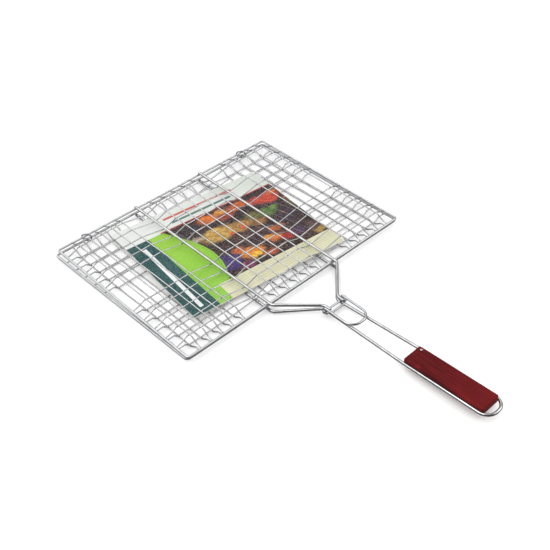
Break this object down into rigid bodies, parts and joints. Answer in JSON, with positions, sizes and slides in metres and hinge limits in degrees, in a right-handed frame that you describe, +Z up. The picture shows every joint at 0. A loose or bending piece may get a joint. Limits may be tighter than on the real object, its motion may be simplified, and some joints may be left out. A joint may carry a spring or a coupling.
{
  "type": "hinged wire grill basket",
  "caption": "Flat rectangular hinged wire grill basket with a long looped wire handle, a wooden grip, a swinging U-shaped locking bail and a loose insert card.",
  "frame": {"origin": "under the centre of the basket, on the plane the tray's lowest wires stand on", "axes": "+Z up, +Y towards the hinge edge, -Y towards the grip and hanging loop, X along the hinge"},
  "size_m": [0.4091, 0.6202, 0.0252],
  "materials": {
    "chromed_wire": "bright plated wire",
    "lacquered_wood": "dark red satin lacquer",
    "steel_pin": "bright domed head",
    "printed_card": "coated print on one face"
  },
  "bodies": {
    "tray": {"tray_rim": "chromed_wire", "tray_long_wire_01": "chromed_wire", "tray_long_wire_02": "chromed_wire", "tray_long_wire_03": "chromed_wire", "tray_long_wire_04": "chromed_wire", "tray_long_wire_05": "chromed_wire", "tray_long_wire_06": "chromed_wire", "tray_long_wire_07": "chromed_wire", "tray_long_wire_08": "chromed_wire", "tray_long_wire_09": "chromed_wire", "tray_long_wire_10": "chromed_wire", "tray_long_wire_11": "chromed_wire", "tray_long_wire_12": "chromed_wire", "tray_long_wire_13": "chromed_wire", "tray_long_wire_14": "chromed_wire", "tray_long_wire_15": "chromed_wire", "tray_cross_wire_01": "chromed_wire", "tray_cross_wire_02": "chromed_wire", "tray_cross_wire_03": "chromed_wire", "tray_cross_wire_04": "chromed_wire", "tray_cross_wire_05": "chromed_wire", "tray_cross_wire_06": "chromed_wire", "tray_cross_wire_07": "chromed_wire", "tray_cross_wire_08": "chromed_wire", "tray_cross_wire_09": "chromed_wire", "tray_cross_wire_10": "chromed_wire", "handle_wire": "chromed_wire", "hinge_ring_left": "chromed_wire", "hinge_ring_right": "chromed_wire", "grip": "lacquered_wood", "grip_pin": "steel_pin", "insert_card": "printed_card"},
    "lid": {"lid_rim": "chromed_wire", "lid_long_wire_01": "chromed_wire", "lid_long_wire_02": "chromed_wire", "lid_long_wire_03": "chromed_wire", "lid_long_wire_04": "chromed_wire", "lid_long_wire_05": "chromed_wire", "lid_long_wire_06": "chromed_wire", "lid_long_wire_07": "chromed_wire", "lid_long_wire_08": "chromed_wire", "lid_long_wire_09": "chromed_wire", "lid_long_wire_10": "chromed_wire", "lid_long_wire_11": "chromed_wire", "lid_long_wire_12": "chromed_wire", "lid_long_wire_13": "chromed_wire", "lid_long_wire_14": "chromed_wire", "lid_long_wire_15": "chromed_wire", "lid_cross_wire_01": "chromed_wire", "lid_cross_wire_02": "chromed_wire", "lid_cross_wire_03": "chromed_wire", "lid_cross_wire_04": "chromed_wire", "lid_cross_wire_05": "chromed_wire", "lid_cross_wire_06": "chromed_wire", "lid_cross_wire_07": "chromed_wire", "lid_cross_wire_08": "chromed_wire", "lid_cross_wire_09": "chromed_wire", "lid_cross_wire_10": "chromed_wire", "lid_yoke": "chromed_wire"},
    "bail": {"locking_bail": "chromed_wire"}
  },
  "joints": [
    {"name": "lid_hinge", "type": "hinge", "parent": "tray", "child": "lid", "pos_m": [0, 0.14498, 0.01449], "axis": [-1, 0, 0], "range_deg": [0, 150]},
    {"name": "bail_swing", "type": "hinge", "parent": "lid", "child": "bail", "pos_m": [0, -0.2075, 0.0107], "axis": [-1, 0, 0], "range_deg": [0, 100]}
  ]
}
